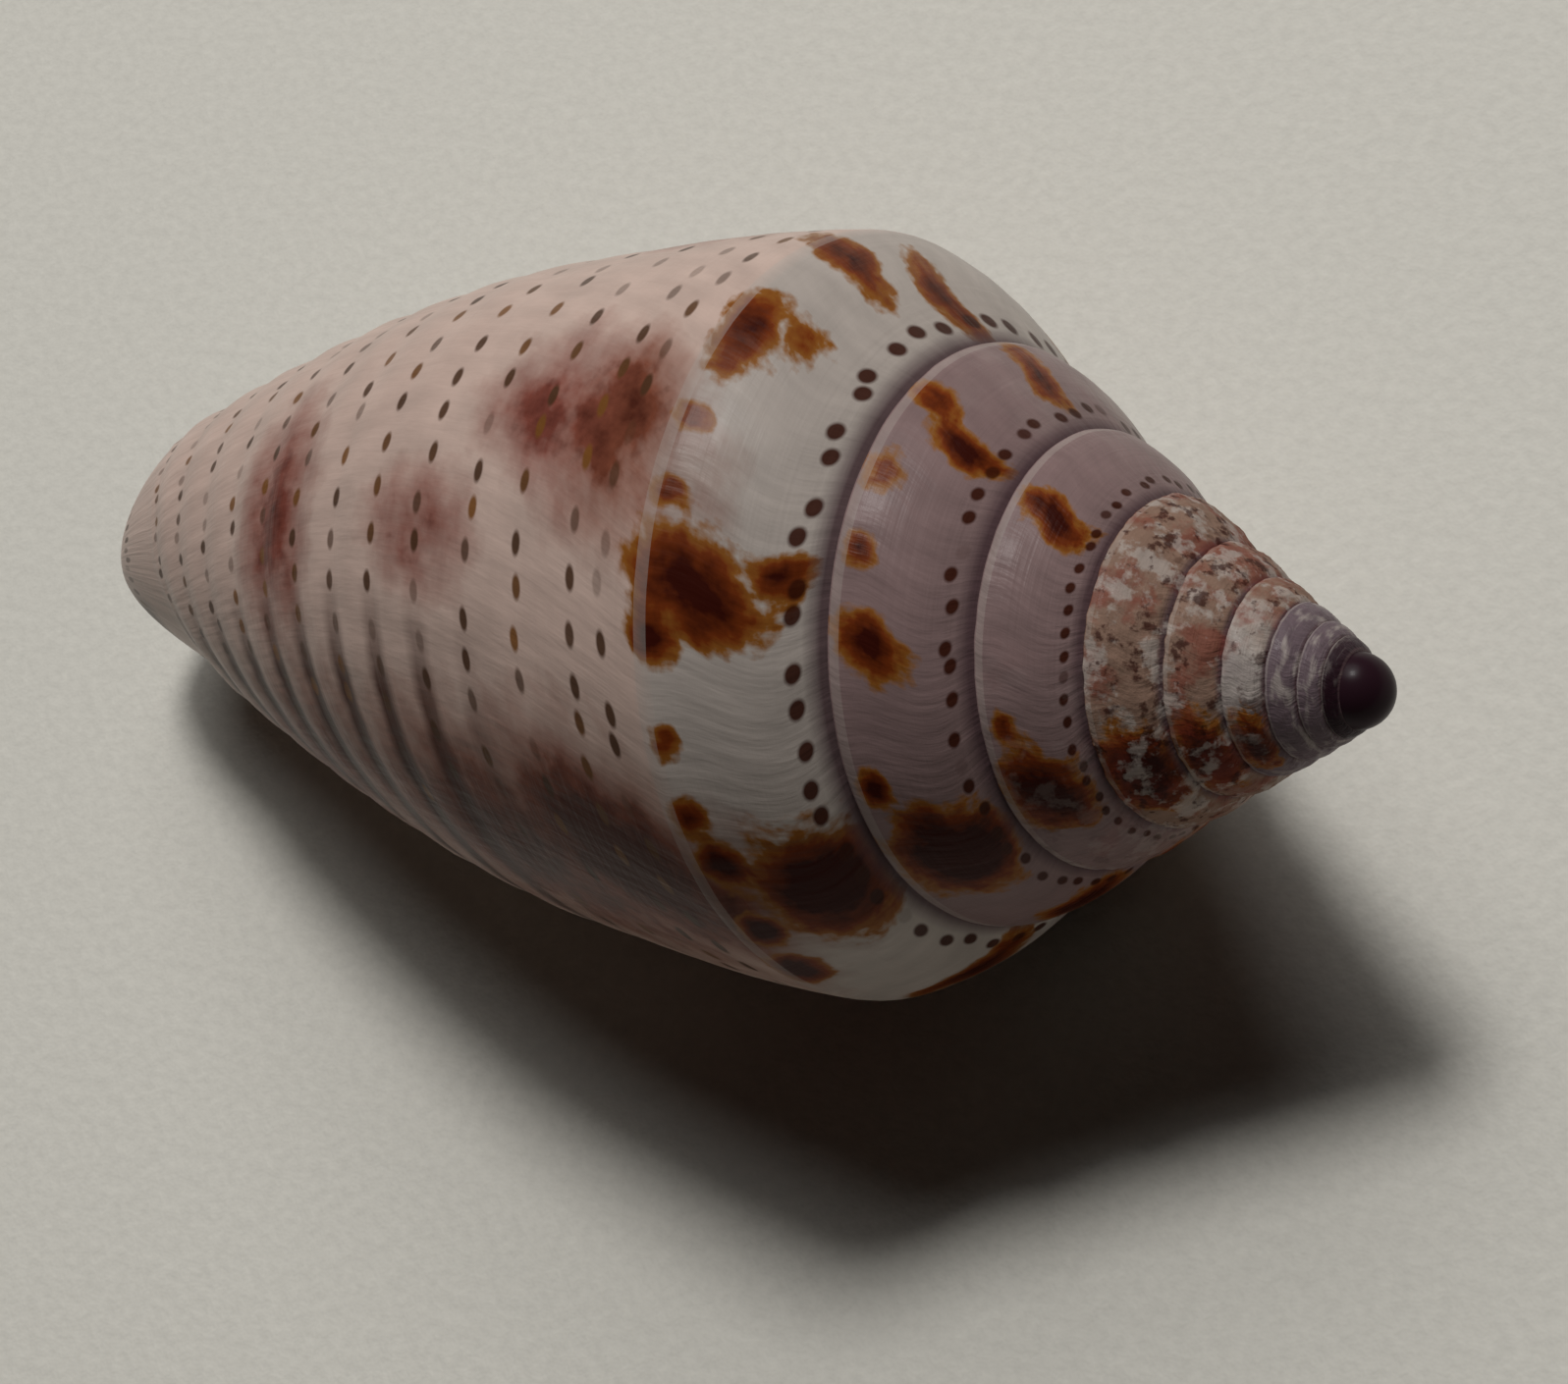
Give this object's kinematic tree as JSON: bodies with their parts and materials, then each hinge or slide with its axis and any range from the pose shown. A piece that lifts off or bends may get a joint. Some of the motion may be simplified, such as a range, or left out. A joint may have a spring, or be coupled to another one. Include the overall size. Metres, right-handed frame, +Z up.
{
  "type": "cone shell",
  "caption": "Small high-spired cone shell, lying on its narrow aperture, with a stepped spire and a smooth tapering body whorl.",
  "frame": {"origin": "centre of the bounding box at the surface that the shell lies on", "axes": "+X points from the front end towards the spire's tip along the surface; +Z is up, away from the aperture, which faces down; +Y completes a right-handed frame"},
  "size_m": [0.0194, 0.009, 0.0082],
  "materials": {
    "shell": "aragonite shell, satin to glossy, cream and grey-lavender with brown dashes and blotches, worn and chalky near the tip"
  },
  "bodies": {
    "root": {"shell": "shell"}
  },
  "joints": []
}
